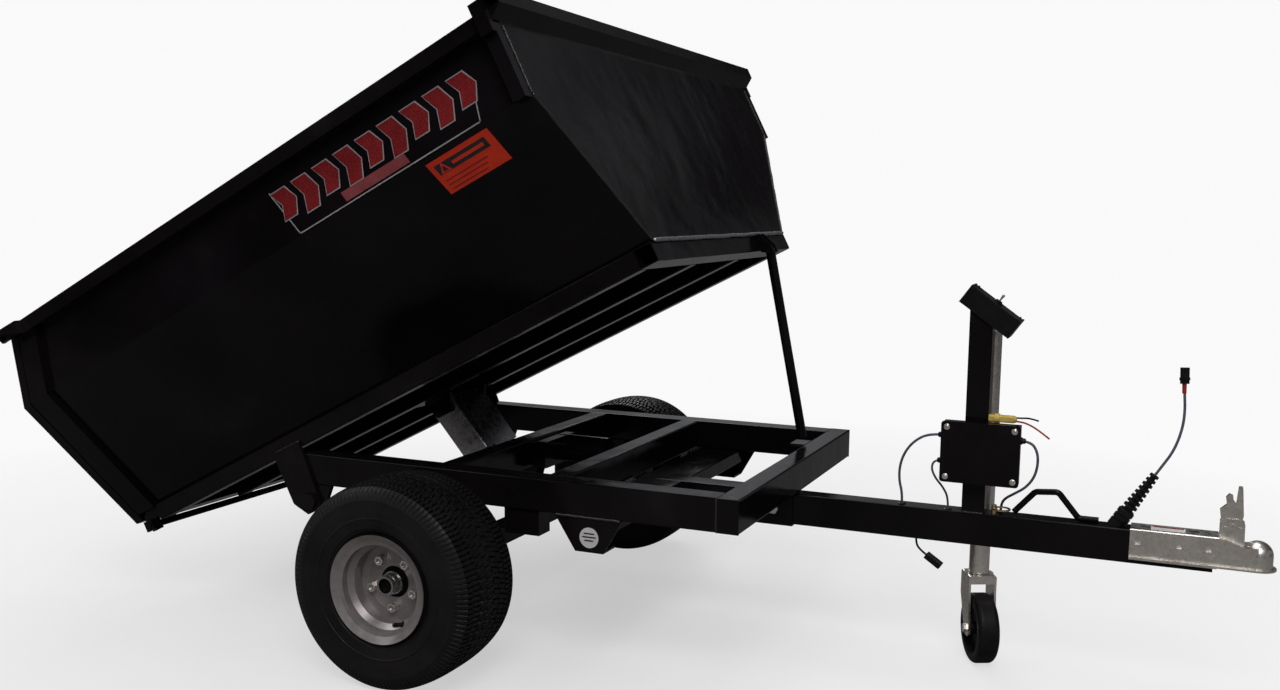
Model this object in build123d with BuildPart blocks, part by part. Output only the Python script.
from build123d import *
import os
from math import cos, pi, radians, sin, tan

os.makedirs("parts", exist_ok=True)

# ---- driving sizes, millimetres; +X runs forward to the coupler, +Z up, Y = 0 on the centre line ----
part_gap = 0.5            # loose pieces stay this far apart
bore_gap = 0.05           # radial room round a turning pin

chassis_width = 914.0
chassis_front = 740.0
rail_rear = -404.0
chassis_top = 455.0
tube_height = 76.0
tube_wall = 3.0
rail_width = 60.0
cross_width = 52.0
chassis_bottom = chassis_top - tube_height
half_chassis = chassis_width / 2
rail_inner = half_chassis - rail_width
front_rear_face = chassis_front - cross_width

tilt = 26.8               # bed angle at rest
pivot_x = -377.0
pivot_z = 339.0
plate_thickness = 8.0
hinge_pin_radius = 12.7

wheel_radius = 235.0
tyre_width = 212.0
wheel_y = half_chassis + 156.5

drawbar_width = 54.0
drawbar_height = 76.0
receiver_wall = 4.0
drawbar_gap = 0.5
receiver_top = chassis_bottom
drawbar_top = receiver_top - receiver_wall - drawbar_gap
drawbar_bottom = drawbar_top - drawbar_height
drawbar_mid = (drawbar_top + drawbar_bottom) / 2
drawbar_front = 1670.0
receiver_front = 727.0

sheet = 3.0
floor_z = 515.0           # underside of the bed sheet with the bed down
floor_half = half_chassis - 8.0
crease_z = 838.0
side_half = floor_half + 256.0
side_top = 1008.0
bed_front = 730.0
rear_lean = 0.30          # the rear opening leans back this much per unit of height
rear_top_x = -785.0
floor_rail_height = 45.0
floor_rail_width = 40.0
floor_rail_wall = 3.0
floor_rail_bottom = floor_z - floor_rail_height
inner_rail_y = 150.0


# ---- shared shapes ----
def side_plane(y):
    return Plane(origin=(0, y, 0), x_dir=(1, 0, 0), z_dir=(0, -1, 0))


def cross_plane(x):
    return Plane(origin=(x, 0, 0), x_dir=(0, 1, 0), z_dir=(1, 0, 0))


def side_plate(points, y_low, y_high, holes=()):
    with BuildPart() as plate:
        with BuildSketch(side_plane(y_high)):
            with BuildLine():
                Polyline(*points, close=True)
            make_face()
            for hole_x, hole_z, radius in holes:
                with Locations((hole_x, hole_z)):
                    Circle(radius, mode=Mode.SUBTRACT)
        extrude(amount=y_high - y_low)
    return plate.part


def block(x_low, x_high, y_low, y_high, z_low, z_high):
    with BuildPart() as brick:
        with BuildSketch(Plane.XY.offset(z_low)):
            with Locations(((x_low + x_high) / 2, (y_low + y_high) / 2)):
                Rectangle(x_high - x_low, y_high - y_low)
        extrude(amount=z_high - z_low)
    return brick.part


def tube_along_x(x_low, x_high, y_mid, z_mid, width, height, wall, corner=4.0):
    with BuildPart() as tube:
        with BuildSketch(cross_plane(x_low)):
            with Locations((y_mid, z_mid)):
                RectangleRounded(width, height, corner)
                RectangleRounded(width - 2 * wall, height - 2 * wall, corner / 2, mode=Mode.SUBTRACT)
        extrude(amount=x_high - x_low)
    return tube.part


def tube_along_y(y_low, y_high, x_mid, z_mid, width, height, wall, corner=4.0):
    with BuildPart() as tube:
        with BuildSketch(side_plane(y_high)):
            with Locations((x_mid, z_mid)):
                RectangleRounded(width, height, corner)
                RectangleRounded(width - 2 * wall, height - 2 * wall, corner / 2, mode=Mode.SUBTRACT)
        extrude(amount=y_high - y_low)
    return tube.part


def pin_along_y(x, z, radius, y_low, y_high, bore=0.0):
    with BuildPart() as pin:
        with BuildSketch(side_plane(y_high)):
            with Locations((x, z)):
                Circle(radius)
                if bore > 0:
                    Circle(bore, mode=Mode.SUBTRACT)
        extrude(amount=y_high - y_low)
    return pin.part


def pin_along_z(x, y, radius, z_low, z_high, bore=0.0):
    with BuildPart() as pin:
        with BuildSketch(Plane.XY.offset(z_low)):
            with Locations((x, y)):
                Circle(radius)
                if bore > 0:
                    Circle(bore, mode=Mode.SUBTRACT)
        extrude(amount=z_high - z_low)
    return pin.part


def hex_along_y(x, z, across, y_low, y_high, turn=0.0):
    with BuildPart() as nut:
        with BuildSketch(side_plane(y_high)):
            with Locations((x, z)):
                RegularPolygon(across / 2, 6, major_radius=False, rotation=turn)
        extrude(amount=y_high - y_low)
    return nut.part


def mirrored(shape):
    return mirror(shape, about=Plane.XZ)


def raised(shape):
    return shape.rotate(Axis((pivot_x, 0, pivot_z), (0, -1, 0)), tilt)


def save(shape, name):
    shape.label = name
    export_step(shape, f"parts/{name}.step")


def save_pair(shape, name):
    save(shape, name + "_right")
    save(mirrored(shape), name + "_left")


def both_sides(shape):
    with BuildPart() as pair:
        add(shape)
        add(mirrored(shape))
    return pair.part


# ---- chassis rails, crossmembers and brackets ----
rail_mid = -half_chassis + rail_width / 2
chassis_mid_z = chassis_top - tube_height / 2
with BuildPart() as chassis_rail:
    add(tube_along_x(rail_rear, front_rear_face, rail_mid, chassis_mid_z, rail_width, tube_height, tube_wall))

with BuildPart() as front_crossmember:
    add(tube_along_y(-half_chassis + tube_wall, half_chassis - tube_wall, (chassis_front + front_rear_face) / 2,
                     chassis_mid_z, cross_width, tube_height, tube_wall))
    for end_low in (-half_chassis, half_chassis - tube_wall):
        add(block(front_rear_face, chassis_front, end_low, end_low + tube_wall, chassis_bottom, chassis_top))

hanger_cross_x = 376.0
hanger_cross_width = 116.0
hanger_cross_height = 38.0
middle_cross_x = 282.0
rear_cross_x = -10.0
narrow_cross_width = 50.0
with BuildPart() as middle_crossmember:
    add(tube_along_y(-rail_inner, rail_inner, middle_cross_x, chassis_mid_z, narrow_cross_width, tube_height,
                     tube_wall))
save(middle_crossmember.part, "middle_crossmember")
with BuildPart() as rear_crossmember:
    add(tube_along_y(-rail_inner, rail_inner, rear_cross_x, chassis_mid_z, narrow_cross_width, tube_height,
                     tube_wall))

gusset_thickness = 6.0
gusset_drop = 80.0
with BuildPart() as gusset:
    add(side_plate([(300, chassis_bottom), (352, chassis_bottom - gusset_drop), (422, chassis_bottom - gusset_drop),
                    (468, chassis_bottom)], -half_chassis, -half_chassis + gusset_thickness))
    add(block(352, 422, -half_chassis + gusset_thickness, -rail_inner, chassis_bottom - gusset_drop,
              chassis_bottom - gusset_drop + gusset_thickness))
save(both_sides(gusset.part), "hanger_gussets")

receiver_half = drawbar_width / 2 + receiver_wall + drawbar_gap
with BuildPart() as hanger_cross_half:
    add(tube_along_y(-half_chassis + gusset_thickness, -receiver_half, hanger_cross_x,
                     chassis_bottom - hanger_cross_height / 2, hanger_cross_width, hanger_cross_height, tube_wall))
save(both_sides(hanger_cross_half.part), "hanger_crossmember")

# ---- axle on two stand-off brackets under the rails ----
axle_half = 25.0
axle_tube_end = half_chassis + 43.0
spindle_radius = 14.0
spindle_end = wheel_y + 58.5
with BuildPart() as axle:
    add(tube_along_y(-axle_tube_end, axle_tube_end, 0, wheel_radius, axle_half * 2, axle_half * 2, 5.0))
    for side in (-1, 1):
        low = min(side * (axle_tube_end - 60), side * spindle_end)
        high = max(side * (axle_tube_end - 60), side * spindle_end)
        add(pin_along_y(0, wheel_radius, spindle_radius, low, high))
        plug_low = min(side * (axle_tube_end - 60), side * axle_tube_end)
        add(block(-axle_half + 4, axle_half - 4, plug_low, plug_low + 60, wheel_radius - axle_half + 4,
                  wheel_radius + axle_half - 4))
save(axle.part, "axle")

axle_bracket_top = chassis_bottom
with BuildPart() as axle_bracket:
    outer_side = [(-75, axle_bracket_top), (75, axle_bracket_top), (38, wheel_radius + axle_half),
                  (-38, wheel_radius + axle_half)]
    add(side_plate(outer_side, -half_chassis, -half_chassis + gusset_thickness))
    add(side_plate(outer_side, -rail_inner - gusset_thickness, -rail_inner))
    add(block(-38, 38, -half_chassis + gusset_thickness, -rail_inner - gusset_thickness,
              wheel_radius + axle_half, wheel_radius + axle_half + gusset_thickness))
save(both_sides(axle_bracket.part), "axle_brackets")


# ---- hinge lugs under the rear ends of the rails, plates on the bed, and the hinge pins ----
plate_inner = half_chassis + 1.0
plate_outer = plate_inner + plate_thickness
lug_inner = half_chassis - 12.0
with BuildPart() as hinge_lug:
    add(side_plate([(rail_rear, chassis_bottom), (-320, chassis_bottom), (-345, 318), (rail_rear, 318)],
                   -half_chassis, -lug_inner, holes=[(pivot_x, pivot_z, hinge_pin_radius)]))

spacer_drop = 60.0
with BuildPart() as chassis_rail_weldment:
    add(chassis_rail.part)
    add(hinge_lug.part)
    add(block(165, 255, -half_chassis + 8, -rail_inner, chassis_bottom - spacer_drop, chassis_bottom))
save(both_sides(chassis_rail_weldment.part), "chassis_rails")

pin_head = 10.0
with BuildPart() as hinge_pin:
    add(pin_along_y(pivot_x, pivot_z, hinge_pin_radius, -plate_outer - part_gap, -lug_inner + 12))
    add(hex_along_y(pivot_x, pivot_z, 38.0, -plate_outer - part_gap - pin_head, -plate_outer - part_gap))
save(both_sides(hinge_pin.part), "bed_hinge_pins")

with BuildPart() as hinge_plate:
    add(side_plate([(-429, 484), (-340, 484), (-352, 322), (-368, 311), (-400, 311), (-429, 350)],
                   -plate_outer, -plate_inner, holes=[(pivot_x, pivot_z, hinge_pin_radius + bore_gap)]))
save(raised(both_sides(hinge_plate.part)), "bed_hinge_plates")

# ---- tongue: receiver sleeve under the chassis, drawbar inside it, two bolts ----
drawbar_bolt_places = (560.0, 680.0)
drawbar_bolt_radius = 8.0
with BuildPart() as receiver:
    add(tube_along_x(middle_cross_x + narrow_cross_width / 2, receiver_front, 0, drawbar_mid, 2 * receiver_half,
                     drawbar_height + 2 * (receiver_wall + drawbar_gap), receiver_wall, corner=3.0))
    for bolt_x in drawbar_bolt_places:
        with BuildSketch(side_plane(60)):
            with Locations((bolt_x, drawbar_mid)):
                Circle(drawbar_bolt_radius)
        extrude(amount=120, mode=Mode.SUBTRACT)
save(receiver.part, "receiver")

with BuildPart() as drawbar:
    add(tube_along_x(500, drawbar_front, 0, drawbar_mid, drawbar_width, drawbar_height, tube_wall))
    for bolt_x in drawbar_bolt_places:
        with BuildSketch(side_plane(60)):
            with Locations((bolt_x, drawbar_mid)):
                Circle(drawbar_bolt_radius)
        extrude(amount=120, mode=Mode.SUBTRACT)
save(drawbar.part, "drawbar")

with BuildPart() as drawbar_bolts:
    for bolt_x in drawbar_bolt_places:
        add(pin_along_y(bolt_x, drawbar_mid, drawbar_bolt_radius, -receiver_half, receiver_half))
        add(hex_along_y(bolt_x, drawbar_mid, 24.0, -receiver_half - 10, -receiver_half))
        add(hex_along_y(bolt_x, drawbar_mid, 24.0, receiver_half, receiver_half + 13))
save(drawbar_bolts.part, "drawbar_bolts")

# ---- ball coupler ----
coupler_rear = drawbar_front - 170.0
coupler_wall = 3.5
coupler_inner = drawbar_width / 2 + 0.2
coupler_outer = coupler_inner + coupler_wall
coupler_low = drawbar_bottom + 10
coupler_high = drawbar_top + coupler_wall
coupler_end = drawbar_front + 12
ball_x = drawbar_front + 87.0
ball_z = 342.0
ball_room = 25.8          # radius of the socket for a 50.8 ball
dome_radius = 31.0
lip_radius = 38.5
cup_low = 312.0
lip_high = cup_low + 4
coupler_bolt_places = (coupler_rear + 17, coupler_rear + 102, coupler_rear + 160)
coupler_bolt_z = 336.0
coupler_bolt_radius = 6.5
with BuildPart() as coupler_body:
    with BuildSketch(cross_plane(coupler_rear)):
        with BuildLine():
            Polyline((-coupler_outer, coupler_low), (-coupler_outer, coupler_high), (coupler_outer, coupler_high),
                     (coupler_outer, coupler_low), (coupler_inner, coupler_low), (coupler_inner, drawbar_top),
                     (-coupler_inner, drawbar_top), (-coupler_inner, coupler_low), close=True)
        make_face()
    extrude(amount=coupler_end - 4 - coupler_rear)
    fillet(coupler_body.edges().filter_by(Axis.X).group_by(Axis.Z)[-1], 3.0)
    add(side_plate([(drawbar_front + 2, cup_low), (drawbar_front + 2, coupler_high - 3),
                    (coupler_end + 10, coupler_high - 3), (ball_x - 26, ball_z + 18), (ball_x - 12, ball_z + 20),
                    (ball_x, ball_z + 20), (ball_x, cup_low)], -coupler_outer + 0.5, coupler_outer - 0.5))
    with BuildSketch(side_plane(0)):
        with BuildLine():
            Line((ball_x, cup_low), (ball_x, ball_z + dome_radius))
            RadiusArc((ball_x, ball_z + dome_radius), (ball_x + dome_radius, ball_z), dome_radius)
            Line((ball_x + dome_radius, ball_z), (ball_x + dome_radius, lip_high))
            Line((ball_x + dome_radius, lip_high), (ball_x + lip_radius, lip_high))
            Line((ball_x + lip_radius, lip_high), (ball_x + lip_radius, cup_low))
            Line((ball_x + lip_radius, cup_low), (ball_x, cup_low))
        make_face()
    revolve(axis=Axis((ball_x, 0, 0), (0, 0, 1)))
    for side in (-1, 1):
        flange = (side * (coupler_outer - 0.5), side * lip_radius)
        add(block(coupler_rear, ball_x, min(flange), max(flange), cup_low, lip_high))
    with BuildSketch(side_plane(0)):
        with BuildLine():
            Line((ball_x, cup_low - 30), (ball_x, ball_z + ball_room))
            RadiusArc((ball_x, ball_z + ball_room), (ball_x + ball_room, ball_z), ball_room)
            Line((ball_x + ball_room, ball_z), (ball_x + ball_room, cup_low - 30))
            Line((ball_x + ball_room, cup_low - 30), (ball_x, cup_low - 30))
        make_face()
    revolve(axis=Axis((ball_x, 0, 0), (0, 0, 1)), mode=Mode.SUBTRACT)
    for bolt_x in coupler_bolt_places:
        with BuildSketch(side_plane(60)):
            with Locations((bolt_x, coupler_bolt_z)):
                Circle(coupler_bolt_radius)
        extrude(amount=120, mode=Mode.SUBTRACT)

with BuildPart() as coupler_bolts:
    for bolt_x in coupler_bolt_places:
        for side in (-1, 1):
            shank = (side * (coupler_inner + 0.2), side * coupler_outer)
            add(pin_along_y(bolt_x, coupler_bolt_z, coupler_bolt_radius, min(shank), max(shank)))
            head = (side * coupler_outer, side * (coupler_outer + 9))
            add(hex_along_y(bolt_x, coupler_bolt_z, 19.0, min(head), max(head)))
save(coupler_bolts.part, "coupler_bolts")

latch_pin_x = drawbar_front + 33.0
latch_pin_z = 400.0
latch_pin_radius = 5.0
cheek_inner = 12.0
cheek_outer = 16.0
with BuildPart() as coupler_cheeks:
    for side in (-1, 1):
        cheek = (side * cheek_inner, side * cheek_outer)
        add(side_plate([(latch_pin_x - 24, coupler_high - 16), (latch_pin_x + 26, coupler_high - 16),
                        (latch_pin_x + 25, latch_pin_z + 8), (latch_pin_x + 14, latch_pin_z + 18),
                        (latch_pin_x - 12, latch_pin_z + 18), (latch_pin_x - 24, latch_pin_z + 10)],
                       min(cheek), max(cheek), holes=[(latch_pin_x, latch_pin_z, latch_pin_radius)]))
    add(pin_along_y(latch_pin_x, latch_pin_z, latch_pin_radius, -cheek_outer, cheek_outer))
    for side in (-1, 1):
        head = (side * cheek_outer, side * (cheek_outer + 4))
        add(pin_along_y(latch_pin_x, latch_pin_z, 8.0, min(head), max(head)))
        rivet = (side * cheek_outer, side * (cheek_outer + 3))
        for rivet_x in (latch_pin_x - 14, latch_pin_x + 15):
            add(pin_along_y(rivet_x, latch_pin_z - 4, 5.0, min(rivet), max(rivet)))
with BuildPart() as coupler:
    add(coupler_body.part)
    add(coupler_cheeks.part)
save(coupler.part, "coupler_body")

with BuildPart() as coupler_latch:
    for side in (-1, 1):
        lever = (side * 7.5, side * 11)
        add(side_plate([(latch_pin_x - 15, latch_pin_z - 6), (latch_pin_x + 15, latch_pin_z - 6),
                        (latch_pin_x + 21, latch_pin_z + 26), (latch_pin_x + 16, latch_pin_z + 86),
                        (latch_pin_x + 8, latch_pin_z + 86), (latch_pin_x + 5, latch_pin_z + 48),
                        (latch_pin_x - 1, latch_pin_z + 56), (latch_pin_x - 2, latch_pin_z + 66),
                        (latch_pin_x - 10, latch_pin_z + 69), (latch_pin_x - 16, latch_pin_z + 61),
                        (latch_pin_x - 13, latch_pin_z + 46), (latch_pin_x - 26, latch_pin_z + 34),
                        (latch_pin_x - 24, latch_pin_z + 20)], min(lever), max(lever),
                       holes=[(latch_pin_x, latch_pin_z, latch_pin_radius + bore_gap)]))
    add(block(latch_pin_x - 6, latch_pin_x + 14, -7.5, 7.5, latch_pin_z + 25, latch_pin_z + 32))
save(coupler_latch.part, "coupler_latch")

# ---- mast, control box and switch box ----
mast_x = 1158.5
mast_width = 52.0
mast_near = -27.0
mast_depth = 50.0
mast_mid_y = mast_near + mast_depth / 2
switch_slope = 35.5
switch_x = 1177.0
switch_z = 841.0
switch_length = 141.0
switch_thickness = 46.0
switch_depth = 60.0
switch_normal = (sin(radians(switch_slope)), 0, cos(radians(switch_slope)))
switch_plane = Plane(origin=(switch_x, mast_mid_y, switch_z), z_dir=switch_normal,
                     x_dir=(cos(radians(switch_slope)), 0, -sin(radians(switch_slope))))
with BuildPart() as mast:
    with BuildSketch(Plane.XY.offset(drawbar_top)):
        with Locations((mast_x, mast_mid_y)):
            RectangleRounded(mast_width, mast_depth, 4.0)
            RectangleRounded(mast_width - 6, mast_depth - 6, 2.0, mode=Mode.SUBTRACT)
    extrude(amount=switch_z + 40 - drawbar_top)
    with BuildSketch(switch_plane.offset(-switch_thickness / 2)):
        Rectangle(400, 200)
    extrude(amount=400, mode=Mode.SUBTRACT)
save(mast.part, "mast")

with BuildPart() as switch_box:
    with BuildSketch(switch_plane.offset(-switch_thickness / 2)):
        RectangleRounded(switch_length - 24, switch_depth, 3.0)
    extrude(amount=switch_thickness)
    for side in (-1, 1):
        for rib in range(3):
            with BuildSketch(switch_plane.offset(-switch_thickness / 2 - (1.5 if rib != 1 else 0))):
                with Locations((side * (switch_length / 2 - 10 + rib * 4 - 2), 0)):
                    Rectangle(4.0, switch_depth + (3 if rib != 1 else 0))
            extrude(amount=switch_thickness + (3 if rib != 1 else 0))
    with BuildSketch(switch_plane.offset(-switch_thickness / 2 - 5)):
        with Locations((0, 0)):
            Rectangle(mast_width * 3, switch_depth * 2)
    extrude(amount=5, mode=Mode.SUBTRACT)
    with BuildSketch(switch_plane.offset(switch_thickness / 2 - 12)):
        Circle(8.0)
    extrude(amount=30, mode=Mode.SUBTRACT)

with BuildPart() as switch_bezel:
    with BuildSketch(switch_plane.offset(switch_thickness / 2 - 12)):
        Circle(8.0)
        Circle(5.0, mode=Mode.SUBTRACT)
    extrude(amount=12 + 6)
    with BuildSketch(switch_plane.offset(switch_thickness / 2)):
        Circle(12.0)
        Circle(8.0, mode=Mode.SUBTRACT)
    extrude(amount=3)
with BuildPart() as switch_unit:
    add(switch_box.part)
    add(switch_bezel.part)
save(switch_unit.part, "switch_box")

toggle_base = switch_thickness / 2 + 1
toggle_x = switch_x + toggle_base * switch_normal[0]
toggle_z = switch_z + toggle_base * switch_normal[2]
with BuildPart() as toggle_lever:
    with BuildSketch(switch_plane.offset(toggle_base - 4)):
        Circle(1.8)
    extrude(amount=10)
    with BuildSketch(switch_plane.offset(toggle_base + 6)):
        Circle(1.8)
    extrude(amount=16, taper=-6)
    fillet(toggle_lever.edges().group_by(Axis((0, 0, 0), switch_normal))[-1], 1.5)
    add(pin_along_y(toggle_x, toggle_z, 3.0, mast_mid_y - 3.5, mast_mid_y + 3.5))
save(toggle_lever.part, "toggle_lever")

box_low_x = 1086.0
box_high_x = 1262.0
box_low_z = 451.0
box_high_z = 592.0
box_depth = 40.0
box_back = mast_near
box_front = box_back - box_depth
with BuildPart() as control_box:
    add(block(box_low_x + 3, box_high_x - 3, box_front + 4, box_back, box_low_z + 3, box_high_z - 3))

with BuildPart() as control_cover:
    add(block(box_low_x, box_high_x, box_front, box_front + 4, box_low_z, box_high_z))
    fillet(control_cover.edges().filter_by(Axis.Y), 7.0)
with BuildPart() as control_unit:
    add(control_box.part)
    add(control_cover.part)
save(control_unit.part, "control_box")

with BuildPart() as cover_screws:
    for screw_x in (box_low_x + 13, box_high_x - 13):
        for screw_z in (box_low_z + 13, box_high_z - 13):
            add(pin_along_y(screw_x, screw_z, 6.0, box_front - 3.5, box_front))
save(cover_screws.part, "cover_screws")

# ---- jack beside the tongue, caster fork and wheel ----
jack_x = 1167.0
jack_radius = 28.5
jack_y = drawbar_width / 2 + jack_radius + 4.0
jack_wall = 3.0
jack_top = 787.0
jack_low = 285.0
inner_radius = 23.5
inner_low = 212.0
with BuildPart() as jack_sleeve:
    add(pin_along_z(jack_x, jack_y, jack_radius, jack_low, jack_top, bore=jack_radius - jack_wall))
    add(pin_along_z(jack_x, jack_y, jack_radius, jack_top, jack_top + 4))

with BuildPart() as jack_bracket:
    with BuildSketch(Plane.XY.offset(drawbar_bottom + 8)):
        with Locations((jack_x, (drawbar_width / 2 + jack_y) / 2)):
            Rectangle(74, jack_y - drawbar_width / 2)
        with Locations((jack_x, jack_y)):
            Circle(37)
            Circle(jack_radius, mode=Mode.SUBTRACT)
    extrude(amount=drawbar_height - 16)
    with BuildSketch(Plane.XY.offset(drawbar_bottom - 10)):
        with Locations((jack_x, 0)):
            Rectangle(200, drawbar_width)
    extrude(amount=200, mode=Mode.SUBTRACT)
with BuildPart() as jack_outer:
    add(jack_sleeve.part)
    add(jack_bracket.part)
save(jack_outer.part, "jack_sleeve")

with BuildPart() as jack_inner:
    add(pin_along_z(jack_x, jack_y, inner_radius, inner_low, inner_low + 380, bore=inner_radius - 4))
    add(pin_along_z(jack_x, jack_y, jack_radius - jack_wall - 0.05, inner_low + 330, inner_low + 380,
                    bore=inner_radius - 4))
    add(pin_along_z(jack_x, jack_y, inner_radius, inner_low, inner_low + 6))
save(jack_inner.part, "jack_inner")

caster_radius = 82.5
caster_bolt_radius = 6.5
caster_width = 50.0
caster_trail = 26.0
caster_turn = -64.0       # fork turned about the jack at rest
caster_x = jack_x + caster_trail
fork_gap = 3.0
fork_wall = 5.0
fork_half = caster_width / 2 + fork_gap + fork_wall
fork_top = inner_low - 1.0
crown_height = 20.0
caster_recess = 60.0


def caster_turned(shape):
    return shape.rotate(Axis((jack_x, jack_y, 0), (0, 0, 1)), caster_turn)


with BuildPart() as caster_fork:
    add(block(jack_x - 30, jack_x + 34, jack_y - fork_half, jack_y + fork_half,
              fork_top - crown_height, fork_top))
    fillet(caster_fork.edges().filter_by(Axis.X).group_by(Axis.Z)[-1], 5.0)
    add(pin_along_z(jack_x, jack_y, 34, fork_top - 6, fork_top))
    for side in (-1, 1):
        inner_face = side * (caster_width / 2 + fork_gap)
        outer_face = side * fork_half
        add(side_plate([(jack_x - 30, fork_top - crown_height), (jack_x - 30, fork_top - 56),
                        (caster_x - 18, caster_radius - 10), (caster_x - 8, caster_radius - 18),
                        (caster_x + 8, caster_radius - 18), (caster_x + 18, caster_radius - 10),
                        (jack_x + 34, fork_top - 44), (jack_x + 34, fork_top - crown_height)],
                       jack_y + min(inner_face, outer_face), jack_y + max(inner_face, outer_face),
                       holes=[(caster_x, caster_radius, caster_bolt_radius)]))
save(caster_turned(caster_fork.part), "caster_fork")

with BuildPart() as caster_bolt:
    add(pin_along_y(caster_x, caster_radius, caster_bolt_radius, jack_y - fork_half, jack_y + fork_half))
    for side in (-1, 1):
        head = (side * fork_half, side * (fork_half + 8))
        add(hex_along_y(caster_x, caster_radius, 19.0, jack_y + min(head), jack_y + max(head)))
save(caster_turned(caster_bolt.part), "caster_bolt")

with BuildPart() as caster_tyre:
    add(pin_along_y(caster_x, caster_radius, caster_radius, jack_y - caster_width / 2, jack_y + caster_width / 2,
                    bore=caster_recess))
    fillet(caster_tyre.edges().group_by(SortBy.LENGTH)[-1], 12.0)

with BuildPart() as caster_hub:
    add(pin_along_y(caster_x, caster_radius, caster_recess, jack_y - 9, jack_y + 9,
                    bore=caster_bolt_radius + bore_gap))
    add(pin_along_y(caster_x, caster_radius, 15.0, jack_y - caster_width / 2 - 2, jack_y + caster_width / 2 + 2,
                    bore=caster_bolt_radius + bore_gap))
with BuildPart() as caster_wheel:
    add(caster_tyre.part)
    add(caster_hub.part)
save(caster_turned(caster_wheel.part), "caster_wheel")

# ---- carrying handle, lynch pin and boot on top of the drawbar ----
handle_radius = 7.0
handle_z = drawbar_top + handle_radius
handle_points = [(1248, 0, handle_z), (1293, 0, 433), (1343, 0, 437), (1389, 0, handle_z),
                 (1432, 0, handle_z)]
with BuildPart() as tongue_handle:
    with BuildLine() as handle_path:
        FilletPolyline(*handle_points, radius=14.0)
    with BuildSketch(Plane(origin=handle_path.line @ 0, z_dir=handle_path.line % 0)):
        Circle(handle_radius)
    sweep()
    with BuildSketch(Plane.XY.offset(drawbar_top - 5)):
        with Locations((1320, 0)):
            Rectangle(400, 60)
    extrude(amount=5, mode=Mode.SUBTRACT)
save(tongue_handle.part, "tongue_handle")

with BuildPart() as lynch_pin:
    add(pin_along_z(1205, -14, 6.0, drawbar_top, drawbar_top + 22))
    with BuildSketch(Plane.XY.offset(drawbar_top + 12)):
        with Locations((1222, -15)):
            Circle(20.0)
            Circle(16.5, mode=Mode.SUBTRACT)
    extrude(amount=3.5)
save(lynch_pin.part, "lynch_pin")

boot_foot = Vector(drawbar_front - 202, 0, drawbar_top)
boot_tip = boot_foot + Vector(75, 0, 121.5)
boot_lean = (boot_tip - boot_foot).normalized()
boot_length = (boot_tip - boot_foot).length
boot_plane = Plane(origin=boot_foot, x_dir=(0, 1, 0), z_dir=boot_lean)
with BuildPart() as cable_boot:
    with BuildSketch(boot_plane.offset(-20)):
        Circle(15.0)
    extrude(amount=60)
    for ring in range(3):
        with BuildSketch(boot_plane.offset(6 + ring * 12)):
            Circle(19.0)
        extrude(amount=7)
    with BuildSketch(boot_plane.offset(40)):
        Circle(11.0)
    extrude(amount=boot_length - 40, taper=3.0)
    for ring in range(7):
        with BuildSketch(boot_plane.offset(46 + ring * 13)):
            Circle(13.0 - ring * 0.9)
        extrude(amount=6)
    with BuildSketch(Plane.XY.offset(drawbar_top - 60)):
        with Locations((boot_foot.X, 0)):
            Rectangle(140, 100)
    extrude(amount=60, mode=Mode.SUBTRACT)
save(cable_boot.part, "cable_boot")


# ---- cables: straight runs joined by tangent arcs ----
def bend_radii(points):
    radii = []
    for before, here, after in zip(points, points[1:], points[2:]):
        first = Vector(*here) - Vector(*before)
        second = Vector(*after) - Vector(*here)
        half_turn = first.get_angle(second) / 2
        radii.append(0.45 * min(first.length, second.length) / tan(radians(half_turn)))
    return radii


def end_plane(points, across):
    return Plane(origin=points[-1], x_dir=across, z_dir=Vector(*points[-1]) - Vector(*points[-2]))


def cable(points, diameter, name):
    radii = bend_radii(points)
    print(name, "radii", [round(value, 1) for value in radii])
    with BuildPart() as cord:
        with BuildLine() as route:
            FilletPolyline(*points, radius=radii)
        with BuildSketch(Plane(origin=route.line @ 0, z_dir=route.line % 0)):
            Circle(diameter / 2)
        sweep()
    run = route.wires()[0].length
    plain_volume = run * pi * diameter ** 2 / 4
    print(name, "length", round(run, 1), "volume ratio", round(cord.part.volume / plain_volume, 4))
    save(cord.part, name)


cable_y = -46.0
supply_points = [(box_low_x + 3, cable_y, 556), (1056, cable_y, 556), (1022, cable_y + 4, 536),
                 (998, cable_y + 12, 505), (985, cable_y + 24, 468), (983, cable_y + 34, 432),
                 (990, cable_y + 41, 400), (990, cable_y + 41, drawbar_top)]
cable(supply_points, 6.0, "supply_cable")

left_points = [(box_low_x + 3, cable_y, 496), (1070, cable_y, 496), (1062, cable_y + 6, 474),
               (1072, cable_y + 14, 449), (1088, cable_y + 24, 428), (1100, cable_y + 31, 402),
               (1100, cable_y + 31, drawbar_top)]
cable(left_points, 5.0, "motor_cable")

loop_points = [(box_high_x - 3, cable_y, 556), (1283, cable_y, 556), (1298, cable_y + 3, 532),
               (1299, cable_y + 8, 500), (1291, cable_y + 14, 470), (1273, cable_y + 22, 445),
               (1249, cable_y + 34, 427), (1225, cable_y + 50, 409), (1216, cable_y + 62, drawbar_top + 16),
               (1216, cable_y + 62, drawbar_top)]
cable(loop_points, 6.0, "switch_cable")

boot_run = 28.0
boot_clear = boot_tip + boot_lean * boot_run
harness_points = [(boot_tip.X, 0, boot_tip.Z), (boot_clear.X, 0, boot_clear.Z), (boot_tip.X + 32, 0, 549),
                  (boot_tip.X + 43, 0, 580), (boot_tip.X + 50, 0, 614), (boot_tip.X + 51, 0, 648),
                  (boot_tip.X + 48, 0, 680), (boot_tip.X + 47, 0, 702)]
cable(harness_points, 6.0, "harness_cable")

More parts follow.
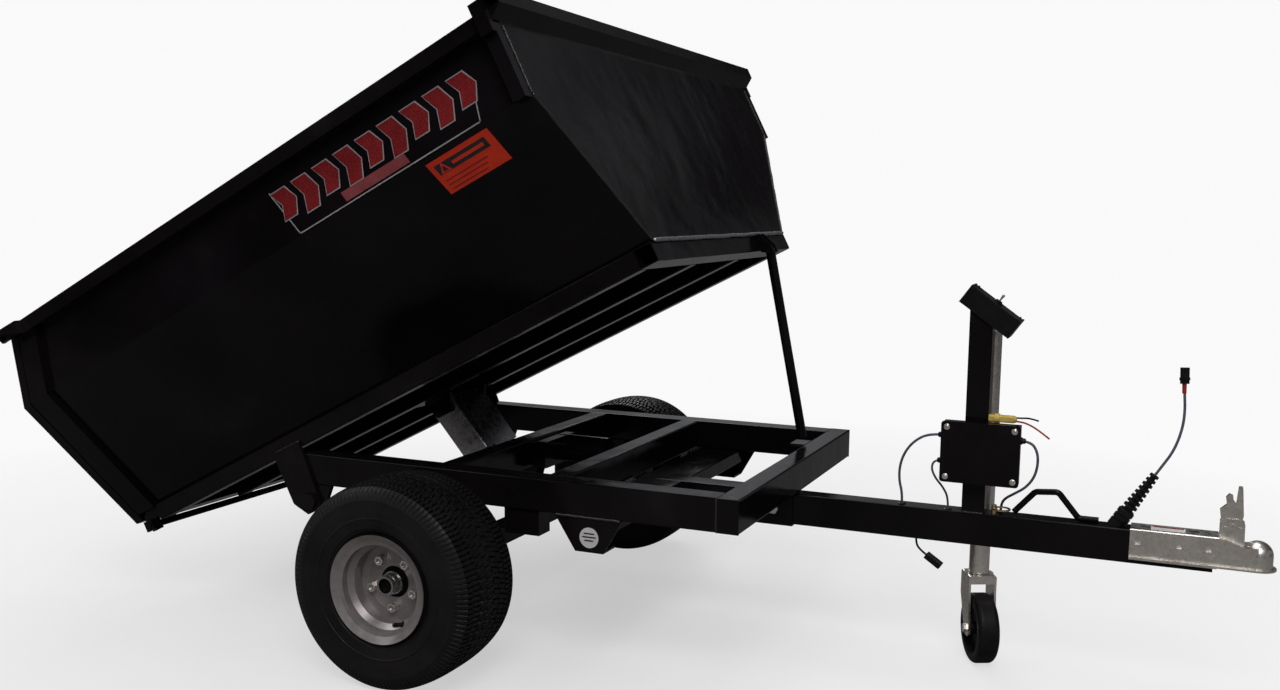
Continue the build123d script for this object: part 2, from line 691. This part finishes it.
with BuildPart() as harness_plug:
    plug_plane = end_plane(harness_points, (0, 1, 0))
    with BuildSketch(plug_plane):
        RectangleRounded(14, 19, 3.0)
    extrude(amount=34)
    with BuildSketch(plug_plane.offset(8)):
        RectangleRounded(17, 22, 3.0)
    extrude(amount=4)
save(harness_plug.part, "harness_plug")

pigtail_points = [(1026, 0, drawbar_bottom), (1026, 0, 281), (1036, 0, 266), (1052, -2, 256)]
cable(pigtail_points, 5.0, "pigtail_cable")
with BuildPart() as pigtail_plug:
    pigtail_plane = end_plane(pigtail_points, (0, 1, 0))
    with BuildSketch(pigtail_plane):
        RectangleRounded(20, 16, 3.0)
    extrude(amount=42)
save(pigtail_plug.part, "pigtail_plug")

with BuildPart() as fuse_holder:
    add(block(mast_x + mast_width / 2, 1240, -24, -6, 590, 606))
    fillet(fuse_holder.edges().filter_by(Axis.X), 4.0)
save(fuse_holder.part, "fuse_holder")
fuse_wire_size = 4.0
cable([(1240, -15, 602), (1256, -15, 602), (1274, -16, 604), (1294, -18, 599)], fuse_wire_size,
      "fuse_wire_black")
cable([(1240, -15, 594), (1257, -15, 594), (1277, -18, 588), (1298, -23, 577), (1320, -28, 562)], fuse_wire_size,
      "fuse_wire_red")

# ---- wheels ----
rim_lip = 122.0
rim_half = 100.0
bead_seat = 101.6
disc_y = 28.0
disc_hole = 36.0
hub_pcd = 114.3
stud_radius = 6.35


def ring_profile(points, y_mid):
    with BuildPart() as ring:
        with BuildSketch(Plane(origin=(0, y_mid, wheel_radius), x_dir=(1, 0, 0), z_dir=(0, 0, 1))):
            with BuildLine():
                Polyline(*points, close=True)
            make_face()
        revolve(axis=Axis((0, y_mid, wheel_radius), (0, 1, 0)))
    return ring.part


half_tyre = tyre_width / 2
tyre_points = [(rim_lip + 1, -88), (150, -100), (178, -half_tyre), (208, -half_tyre + 1), (224, -96), (231, -84),
               (wheel_radius, -60), (wheel_radius, 60), (231, 84), (224, 96), (208, half_tyre - 1),
               (178, half_tyre), (150, 100), (rim_lip + 1, 88), (bead_seat + 2, 88), (bead_seat + 2, 74),
               (112, 70), (150, 86), (200, 84), (220, 60), (220, -60), (200, -84), (150, -86), (112, -70),
               (bead_seat + 2, -74), (bead_seat + 2, -88)]
with BuildPart() as tyre:
    add(ring_profile(tyre_points, -wheel_y))
save_pair(tyre.part, "tyre")

outer_line = [(rim_lip, -rim_half - 3), (rim_lip, -rim_half), (110, -91), (bead_seat, -88), (bead_seat, -72),
              (90, -62), (90, 62), (bead_seat, 72), (bead_seat, 88), (110, 91), (rim_lip, rim_half),
              (rim_lip, rim_half + 3), (107, 94), (98.2, 91), (98.2, 74), (86.6, 64), (86.6, -disc_y + 4),
              (70, -disc_y), (disc_hole, -disc_y), (disc_hole, -disc_y - 4.5), (70, -disc_y - 4.5),
              (86.6, -disc_y - 8),
              (86.6, -64), (98.2, -74), (98.2, -91), (107, -94)]
with BuildPart() as rim:
    add(ring_profile(outer_line, -wheel_y))
    with BuildSketch(side_plane(-wheel_y + 40)):
        with Locations((0, wheel_radius)):
            with PolarLocations(hub_pcd / 2, 5, start_angle=125):
                Circle(stud_radius + 0.3)
    extrude(amount=90, mode=Mode.SUBTRACT)
save_pair(rim.part, "rim")

hub_face = -wheel_y - disc_y
hub_bore = spindle_radius + bore_gap
with BuildPart() as hub:
    add(pin_along_y(0, wheel_radius, 69.0, hub_face, hub_face + 9, bore=hub_bore))
    add(pin_along_y(0, wheel_radius, 26.0, hub_face - 14, hub_face + 62, bore=hub_bore))
    add(pin_along_y(0, wheel_radius, 23.0, hub_face - 30, hub_face - 14, bore=hub_bore))
    add(pin_along_y(0, wheel_radius, 21.5, hub_face - 42, hub_face - 30, bore=17.0))
    with BuildSketch(side_plane(hub_face)):
        with Locations((0, wheel_radius)):
            with PolarLocations(hub_pcd / 2, 5, start_angle=125):
                Circle(stud_radius)
    extrude(amount=16)
save_pair(hub.part, "hub")

with BuildPart() as lug_nuts:
    with BuildSketch(side_plane(hub_face - 4.5)):
        with Locations((0, wheel_radius)):
            with PolarLocations(hub_pcd / 2, 5, start_angle=125):
                RegularPolygon(9.5, 6, major_radius=False)
                Circle(stud_radius, mode=Mode.SUBTRACT)
    extrude(amount=15)
save_pair(lug_nuts.part, "lug_nuts")

# ---- bed, drawn lowered and turned up to its rest angle when saved ----
wedge_low = 300.0               # the wedges that lean the rear opening run from well below the floor
wedge_high = side_top + 192.0   # to well above the sides


def rear_edge(z):
    return rear_top_x - (side_top - z) * rear_lean


with BuildPart() as bed_floor:
    add(side_plate([(rear_edge(floor_z), floor_z), (bed_front - sheet, floor_z),
                    (bed_front - sheet, floor_z + sheet), (rear_edge(floor_z + sheet), floor_z + sheet)],
                   -floor_half, floor_half))

with BuildPart() as bed_side:
    with BuildSketch(cross_plane(bed_front)):
        with BuildLine():
            Polyline((-floor_half, floor_z), (-side_half, crease_z), (-side_half, side_top),
                     (-side_half + sheet, side_top), (-side_half + sheet, crease_z + 0.6),
                     (-floor_half + sheet * 1.25, floor_z + sheet),
                     (-floor_half, floor_z + sheet), close=True)
        make_face()
    extrude(amount=-1700)
    with BuildSketch(side_plane(-300)):
        with BuildLine():
            Polyline((rear_edge(wedge_low), wedge_low), (rear_edge(wedge_high), wedge_high),
                     (-1200, wedge_high), (-1200, wedge_low), close=True)
        make_face()
    extrude(amount=500, mode=Mode.SUBTRACT)
    with BuildSketch(cross_plane(bed_front)):
        with Locations((0, floor_z + sheet / 2)):
            Rectangle(floor_half * 2, sheet)
    extrude(amount=-1800, mode=Mode.SUBTRACT)
with BuildPart() as bed_tray:
    add(bed_floor.part)
    add(both_sides(bed_side.part))
save(raised(bed_tray.part), "bed_tray")

with BuildPart() as front_wall:
    with BuildSketch(cross_plane(bed_front - sheet)):
        with BuildLine():
            Polyline((-floor_half + 4, floor_z), (-floor_half + 4, floor_z + sheet),
                     (-side_half + sheet, crease_z + 1), (-side_half + sheet, side_top),
                     (side_half - sheet, side_top), (side_half - sheet, crease_z + 1),
                     (floor_half - 4, floor_z + sheet), (floor_half - 4, floor_z), close=True)
        make_face()
    extrude(amount=sheet)
save(raised(front_wall.part), "front_wall")

with BuildPart() as side_rail:
    with BuildSketch(cross_plane(rear_top_x)):
        with BuildLine():
            Polyline((-side_half, side_top - 22), (-side_half - 30, side_top - 22),
                     (-side_half - 30, side_top + 10), (-side_half + 14, side_top + 10),
                     (-side_half + 14, side_top), (-side_half, side_top), close=True)
        make_face()
        with Locations((-side_half - 15, side_top - 6)):
            Rectangle(24, 26, mode=Mode.SUBTRACT)
    extrude(amount=bed_front - rear_top_x)

with BuildPart() as front_rail:
    with BuildSketch(side_plane(side_half + 30)):
        with BuildLine():
            Polyline((bed_front, side_top - 14), (bed_front + 30, side_top + 6), (bed_front + 30, side_top + 36),
                     (bed_front - 8, side_top + 36), (bed_front - 8, side_top + 10), (bed_front, side_top + 10),
                     close=True)
        make_face()
        with Locations((bed_front + 12, side_top + 20)):
            Rectangle(28, 24, mode=Mode.SUBTRACT)
    extrude(amount=2 * (side_half + 30))

post_low = crease_z - 8
with BuildPart() as stake_post:
    add(block(bed_front - 30, bed_front, -side_half - 30, -side_half, post_low, side_top - 22))
    add(block(bed_front - 30, bed_front, -side_half - 44, -side_half - 30, side_top - 40, side_top + 28))
with BuildPart() as top_rails:
    add(both_sides(side_rail.part))
    add(front_rail.part)
    add(both_sides(stake_post.part))
save(raised(top_rails.part), "top_rails")

post_width = 62.0
post_depth = 14.0
with BuildPart() as rear_frame:
    for side in (-1, 1):
        with BuildSketch(cross_plane(-1100)):
            with BuildLine():
                Polyline((side * floor_half, floor_z), (side * side_half, crease_z),
                         (side * side_half, side_top - 22),
                         (side * (side_half + post_depth), side_top - 22),
                         (side * (side_half + post_depth), crease_z - 4),
                         (side * (floor_half + post_depth), floor_z - 6), (side * floor_half, floor_z - 6),
                         close=True)
            make_face()
        extrude(amount=800)
    with BuildSketch(side_plane(900)):
        with BuildLine():
            Polyline((-1200, wedge_low), (rear_edge(wedge_low), wedge_low), (rear_edge(wedge_high), wedge_high),
                     (-1200, wedge_high), close=True)
        make_face()
        with BuildLine():
            Polyline((rear_edge(wedge_low) + post_width, wedge_low), (0, wedge_low), (0, wedge_high),
                     (rear_edge(wedge_high) + post_width, wedge_high),
                     close=True)
        make_face()
    extrude(amount=1800, mode=Mode.SUBTRACT)
    sill_x = rear_edge(floor_z - 6)
    add(block(sill_x + 0.5, sill_x + 56, -floor_half, floor_half, floor_z - 32, floor_z))

# floor rails, their cross tubes and the actuator clevis
rail_front = bed_front - 50
rail_back = rear_edge(floor_z) + post_width
rail_z = floor_z - floor_rail_height / 2
outer_rail_y = -plate_inner + floor_rail_width / 2
with BuildPart() as outer_rail:
    add(tube_along_x(rail_back, rail_front, outer_rail_y, rail_z, floor_rail_width, floor_rail_height,
                     floor_rail_wall))
with BuildPart() as inner_rail:
    add(tube_along_x(rail_back, rail_front, -inner_rail_y, rail_z, floor_rail_width, floor_rail_height,
                     floor_rail_wall))
with BuildPart() as floor_rails:
    add(both_sides(outer_rail.part))
    add(both_sides(inner_rail.part))
save(raised(floor_rails.part), "floor_rails")
with BuildPart() as front_floor_tube:
    add(tube_along_y(-plate_inner, plate_inner, bed_front - 25, rail_z, 50, floor_rail_height,
                     floor_rail_wall))

# ---- lifting actuator: housing hung from the bed, rod down to a bracket behind the rear crossmember ----
eye_x = -172.0
eye_z = 445.0
arm_angle = 130.8         # direction from the lower pin up to the upper pin
arm_length = 300.0
turn = radians(tilt)
eye_world_x = pivot_x + (eye_x - pivot_x) * cos(turn) - (eye_z - pivot_z) * sin(turn)
eye_world_z = pivot_z + (eye_x - pivot_x) * sin(turn) + (eye_z - pivot_z) * cos(turn)
down_x = -cos(radians(arm_angle))
down_z = -sin(radians(arm_angle))
foot_x = eye_world_x + arm_length * down_x
foot_z = eye_world_z + arm_length * down_z
arm_plane = Plane(origin=(eye_world_x, 0, eye_world_z), x_dir=(0, 1, 0), z_dir=(down_x, 0, down_z))
housing_width = 160.0
housing_depth = 79.0
housing_length = 160.0
rod_top = 124.0           # upper end of the rod, measured down from the upper pin at rest
clevis_pin_radius = 10.0
rod_radius = 14.0
housing_half = housing_width / 2
clevis_y = housing_half + part_gap
with BuildPart() as actuator_housing:
    with BuildSketch(arm_plane.offset(-14)):
        RectangleRounded(housing_width, housing_depth, 5.0)
    extrude(amount=housing_length + 14)
    with BuildSketch(side_plane(housing_half + 1)):
        with Locations((eye_world_x, eye_world_z)):
            Circle(clevis_pin_radius + bore_gap)
    extrude(amount=housing_width + 2, mode=Mode.SUBTRACT)
    with BuildSketch(arm_plane.offset(rod_top - 108)):
        Circle(rod_radius + bore_gap)
    extrude(amount=housing_length, mode=Mode.SUBTRACT)
save(actuator_housing.part, "actuator_housing")

with BuildPart() as actuator_clevis:
    for side in (-1, 1):
        cheek = (side * clevis_y, side * (clevis_y + 10))
        add(side_plate([(eye_x - 45, floor_rail_bottom), (eye_x + 45, floor_rail_bottom), (eye_x + 24, eye_z - 22),
                        (eye_x - 24, eye_z - 22)], min(cheek), max(cheek),
                       holes=[(eye_x, eye_z, clevis_pin_radius)]))
    add(block(eye_x - 45, eye_x + 45, -inner_rail_y + floor_rail_width / 2, inner_rail_y - floor_rail_width / 2,
              floor_z - 12, floor_z))
    for side in (-1, 1):
        web = (side * clevis_y, side * (inner_rail_y - floor_rail_width / 2))
        add(block(eye_x - 45, eye_x + 45, min(web), max(web), floor_rail_bottom, floor_z - 12))

with BuildPart() as clevis_pin:
    add(pin_along_y(eye_x, eye_z, clevis_pin_radius, -clevis_y - 10, clevis_y + 10))
    for side in (-1, 1):
        head = (side * (clevis_y + 10), side * (clevis_y + 17))
        add(pin_along_y(eye_x, eye_z, 15.0, min(head), max(head)))
with BuildPart() as clevis_unit:
    add(actuator_clevis.part)
    add(clevis_pin.part)
save(raised(clevis_unit.part), "actuator_clevis")

rod_eye = 20.0
foot_pin_radius = 8.0
with BuildPart() as actuator_rod:
    with BuildSketch(arm_plane.offset(rod_top)):
        Circle(rod_radius)
    extrude(amount=arm_length - rod_top - 6)
    add(pin_along_y(foot_x, foot_z, rod_eye, -16, 16))
    add(pin_along_y(foot_x, foot_z, foot_pin_radius, -34, 34))
save(actuator_rod.part, "actuator_rod")

slot_reach = 11.0
slot_angle = arm_angle - 90


def beside_slot(along, toward_eye):
    return (foot_x - along * down_z - toward_eye * down_x, foot_z + along * down_x - toward_eye * down_z)


with BuildPart() as actuator_bracket:
    for side in (-1, 1):
        cheek = (side * 20, side * 28)
        add(side_plate([(rear_cross_x - 20, chassis_bottom), (rear_cross_x + 25, chassis_bottom),
                        beside_slot(24, -24), beside_slot(-20, -24), beside_slot(-27, -10),
                        beside_slot(-27, 22), beside_slot(34, 22)], min(cheek), max(cheek)))
    with BuildSketch(side_plane(60)):
        with Locations((foot_x, foot_z)):
            SlotCenterToCenter(2 * slot_reach, 2 * foot_pin_radius + 1.0, rotation=slot_angle)
    extrude(amount=120, mode=Mode.SUBTRACT)
with BuildPart() as rear_crossmember_unit:
    add(rear_crossmember.part)
    add(actuator_bracket.part)
save(rear_crossmember_unit.part, "rear_crossmember")

# motor and gearbox of the drive between the middle and rear crossmembers
with BuildPart() as drive_motor:
    with BuildSketch(cross_plane(rear_cross_x + 25 + 20)):
        with Locations((60, chassis_mid_z)):
            Circle(36.0)
    extrude(amount=150)
    with BuildSketch(cross_plane(rear_cross_x + 25 + 20)):
        with Locations((20, chassis_mid_z)):
            RectangleRounded(170, 70, 6.0)
    extrude(amount=26)
    add(block(rear_cross_x + 25, rear_cross_x + 45, -60, 100, chassis_mid_z - 30, chassis_mid_z + 30))
save(drive_motor.part, "drive_motor")

# ---- prop bar on ears at the front of the bed ----
prop_y = 225.0
prop_radius = 12.5
prop_pivot_x = bed_front + 19.0
prop_pivot_z = 463.0
prop_pin_radius = 6.0
prop_foot_x = 672.0
prop_foot_z = chassis_top + 13.0
prop_world_x = pivot_x + (prop_pivot_x - pivot_x) * cos(turn) - (prop_pivot_z - pivot_z) * sin(turn)
prop_world_z = pivot_z + (prop_pivot_x - pivot_x) * sin(turn) + (prop_pivot_z - pivot_z) * cos(turn)
prop_run = Vector(prop_foot_x - prop_world_x, 0, prop_foot_z - prop_world_z)
prop_plane = Plane(origin=(prop_world_x, prop_y, prop_world_z), x_dir=(0, 1, 0), z_dir=prop_run.normalized())
with BuildPart() as prop_bar:
    with BuildSketch(prop_plane.offset(-4)):
        Circle(prop_radius)
    extrude(amount=prop_run.length + 4)
    with BuildSketch(side_plane(prop_y + 20)):
        with Locations((prop_world_x, prop_world_z)):
            Circle(prop_pin_radius + bore_gap)
    extrude(amount=40, mode=Mode.SUBTRACT)
save(prop_bar.part, "prop_bar")

with BuildPart() as prop_ears:
    for side in (-1, 1):
        ear = (prop_y + side * (prop_radius + 1), prop_y + side * (prop_radius + 7))
        add(side_plate([(bed_front, floor_z - 2), (bed_front + 14, floor_z - 2),
                        (prop_pivot_x + 13, prop_pivot_z + 8),
                        (prop_pivot_x + 13, prop_pivot_z - 10), (prop_pivot_x - 4, prop_pivot_z - 12),
                        (chassis_front + 2, chassis_top + 4), (bed_front, prop_pivot_z + 4)], min(ear), max(ear),
                       holes=[(prop_pivot_x, prop_pivot_z, prop_pin_radius)]))
    add(pin_along_y(prop_pivot_x, prop_pivot_z, prop_pin_radius, prop_y - prop_radius - 11,
                    prop_y + prop_radius + 11))
with BuildPart() as front_tube_unit:
    add(front_floor_tube.part)
    add(prop_ears.part)
save(raised(front_tube_unit.part), "floor_tube_front")

with BuildPart() as front_crossmember_unit:
    add(front_crossmember.part)
    add(block(front_rear_face - 40, front_rear_face, prop_y - 30, prop_y + 30, chassis_top - 8, chassis_top))
save(front_crossmember_unit.part, "front_crossmember")

# ---- tailgate on top pins, with its latch bar under the floor ----
gate_gap = 3.0
gate_thickness = 25.0
gate_border = 40.0
gate_pin_x = rear_top_x - 22.0
gate_pin_z = side_top - 6.0
gate_pin_radius = 9.0


def gate_face(z, back):
    return rear_edge(z) - gate_gap - back


gate_top = side_top - 2
gate_low = floor_z - 24
with BuildPart() as tailgate:
    with BuildSketch(cross_plane(-1200)):
        with BuildLine():
            Polyline((-floor_half, gate_low), (-side_half - post_depth, crease_z - 6),
                     (-side_half - post_depth, gate_top), (side_half + post_depth, gate_top),
                     (side_half + post_depth, crease_z - 6), (floor_half, gate_low), close=True)
        make_face()
    extrude(amount=600)
    with BuildSketch(side_plane(900)):
        with BuildLine():
            Polyline((gate_face(wedge_low, 0), wedge_low), (gate_face(wedge_high, 0), wedge_high), (0, wedge_high),
                     (0, wedge_low), close=True)
        make_face()
        with BuildLine():
            Polyline((-1400, wedge_low), (gate_face(wedge_low, gate_thickness), wedge_low),
                     (gate_face(wedge_high, gate_thickness), wedge_high),
                     (-1400, wedge_high), close=True)
        make_face()
    extrude(amount=1800, mode=Mode.SUBTRACT)
with BuildPart() as gate_pocket:
    with BuildSketch(cross_plane(-1200)):
        for side in (-1, 1):
            with BuildLine():
                Polyline((side * (floor_half - gate_border / 2), gate_low + gate_border),
                         (side * (side_half - gate_border), crease_z),
                         (side * (side_half - gate_border), gate_top - gate_border),
                         (side * gate_border / 2, gate_top - gate_border),
                         (side * gate_border / 2, gate_low + gate_border), close=True)
            make_face()
    extrude(amount=600)
    with BuildSketch(side_plane(900)):
        with BuildLine():
            Polyline((gate_face(wedge_low, sheet), wedge_low), (gate_face(wedge_high, sheet), wedge_high),
                     (0, wedge_high), (0, wedge_low), close=True)
        make_face()
    extrude(amount=1800, mode=Mode.SUBTRACT)
with BuildPart() as gate_unit:
    add(tailgate.part)
    add(gate_pocket.part, mode=Mode.SUBTRACT)
    add(pin_along_y(gate_pin_x + 7, gate_pin_z, gate_pin_radius, -side_half - 75, side_half + 75))
save(raised(gate_unit.part), "tailgate")

with BuildPart() as gate_ears:
    ear_low = side_half + 38
    for side in (-1, 1):
        ear = (side * ear_low, side * (ear_low + 8))
        add(side_plate([(rear_top_x + 40, side_top - 22), (rear_top_x + 40, side_top + 10),
                        (rear_top_x - 26, side_top + 12), (rear_top_x - 34, side_top - 6),
                        (rear_top_x - 26, side_top - 22)], min(ear), max(ear),
                       holes=[(gate_pin_x + 7, gate_pin_z, gate_pin_radius + bore_gap)]))
        web = (side * (side_half + 30), side * ear_low)
        add(block(rear_top_x + 4, rear_top_x + 40, min(web), max(web), side_top - 22, side_top + 10))

latch_x = rear_edge(floor_z - 32) + 30
latch_z = floor_z - 32 - 14
with BuildPart() as gate_latch:
    add(pin_along_y(latch_x, latch_z, gate_pin_radius, -floor_half - 18, floor_half + 18))
    for side in (-1, 1):
        hook = (side * (floor_half + 6), side * (floor_half + 16))
        add(side_plate([(latch_x - 14, latch_z - 14), (latch_x + 14, latch_z - 14), (latch_x + 14, latch_z + 14),
                        (latch_x - 14, latch_z + 14)], min(hook), max(hook)))
save(raised(gate_latch.part), "gate_latch")
with BuildPart() as latch_brackets:
    for side in (-1, 1):
        ear = (side * (floor_half - 14), side * (floor_half - 4))
        add(side_plate([(latch_x - 16, floor_z - 32), (latch_x + 16, floor_z - 32), (latch_x + 16, latch_z - 16),
                        (latch_x - 16, latch_z - 16)], min(ear), max(ear),
                       holes=[(latch_x, latch_z, gate_pin_radius + bore_gap)]))
with BuildPart() as rear_frame_unit:
    add(rear_frame.part)
    add(gate_ears.part)
    add(latch_brackets.part)
save(raised(rear_frame_unit.part), "rear_frame")
